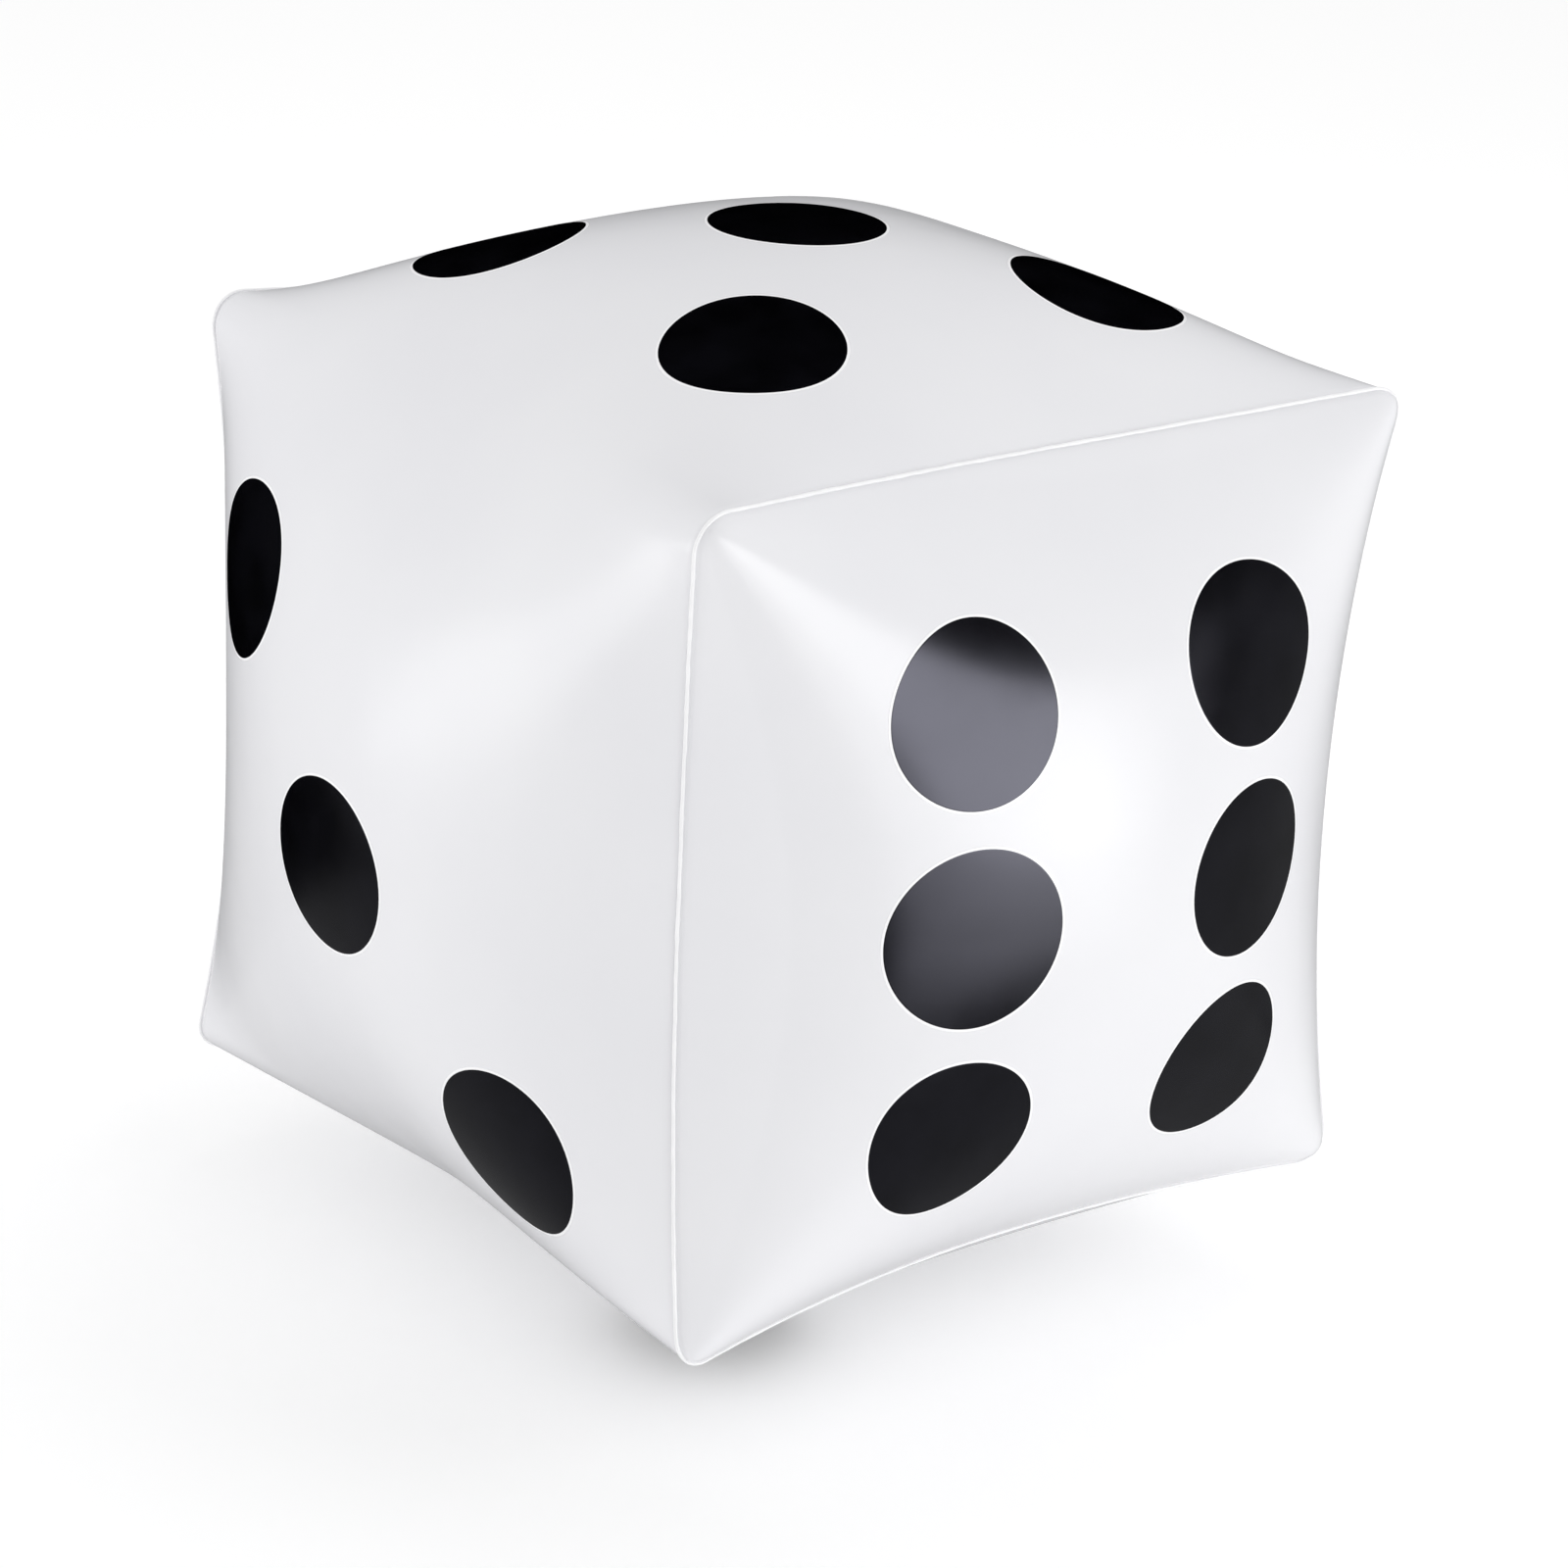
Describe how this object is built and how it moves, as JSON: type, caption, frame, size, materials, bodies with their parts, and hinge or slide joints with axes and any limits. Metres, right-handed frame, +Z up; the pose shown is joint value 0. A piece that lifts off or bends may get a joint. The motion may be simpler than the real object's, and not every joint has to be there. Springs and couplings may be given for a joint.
{
  "type": "giant yard dice",
  "caption": "Large inflatable lawn die: soft welded film cube with bulging faces, drawn-in seams, printed round pips and a push-in plugged air valve.",
  "frame": {"origin": "under the middle of the die, on the ground that it rests on", "axes": "+Z up to the 5 face, -Y to the 6 face, +Y to the 1 face with the valve, -X to the 3 face, +X to the 4 face"},
  "size_m": [0.6363, 0.6553, 0.6353],
  "materials": {
    "film": "soft gloss white vinyl film",
    "weld": "glossy fused vinyl",
    "ink": "glossy black ink",
    "valve_film": "soft translucent vinyl",
    "valve_vinyl": "moulded soft vinyl"
  },
  "bodies": {
    "envelope": {"front_panel": "film", "rear_panel": "film", "side_band": "film", "front_weld_seam": "weld", "rear_weld_seam": "weld", "band_lap_weld": "weld", "valve_flange": "valve_film", "valve_collar": "valve_film", "face_1_pip_1": "ink", "face_2_pip_1": "ink", "face_2_pip_2": "ink", "face_3_pip_1": "ink", "face_3_pip_2": "ink", "face_3_pip_3": "ink", "face_4_pip_1": "ink", "face_4_pip_2": "ink", "face_4_pip_3": "ink", "face_4_pip_4": "ink", "face_5_pip_1": "ink", "face_5_pip_2": "ink", "face_5_pip_3": "ink", "face_5_pip_4": "ink", "face_5_pip_5": "ink", "face_6_pip_1": "ink", "face_6_pip_2": "ink", "face_6_pip_3": "ink", "face_6_pip_4": "ink", "face_6_pip_5": "ink", "face_6_pip_6": "ink"},
    "stem": {"valve_stem": "valve_vinyl", "strap_lower_leg": "valve_vinyl", "strap_fold_pin": "valve_vinyl"},
    "plug": {"strap_upper_leg": "valve_vinyl", "valve_plug": "valve_vinyl", "plug_pull_tab": "valve_vinyl"},
    "flap": {"check_flap": "valve_film"}
  },
  "joints": [
    {"name": "stem_push", "type": "slide", "parent": "envelope", "child": "stem", "axis": [0, 0.9612, -0.2759], "range_m": [0, 0.014], "deforming": ["valve_collar"]},
    {"name": "plug_turn", "type": "hinge", "parent": "stem", "child": "plug", "pos_m": [0, 0.32019, 0.22403], "axis": [1, 0, 0], "range_deg": [0, 170]},
    {"name": "flap_turn", "type": "hinge", "parent": "stem", "child": "flap", "pos_m": [0, 0.30096, 0.21883], "axis": [-1, 0, 0], "range_deg": [0, 50], "stiffness_Nm_per_rad": 0.00005}
  ]
}
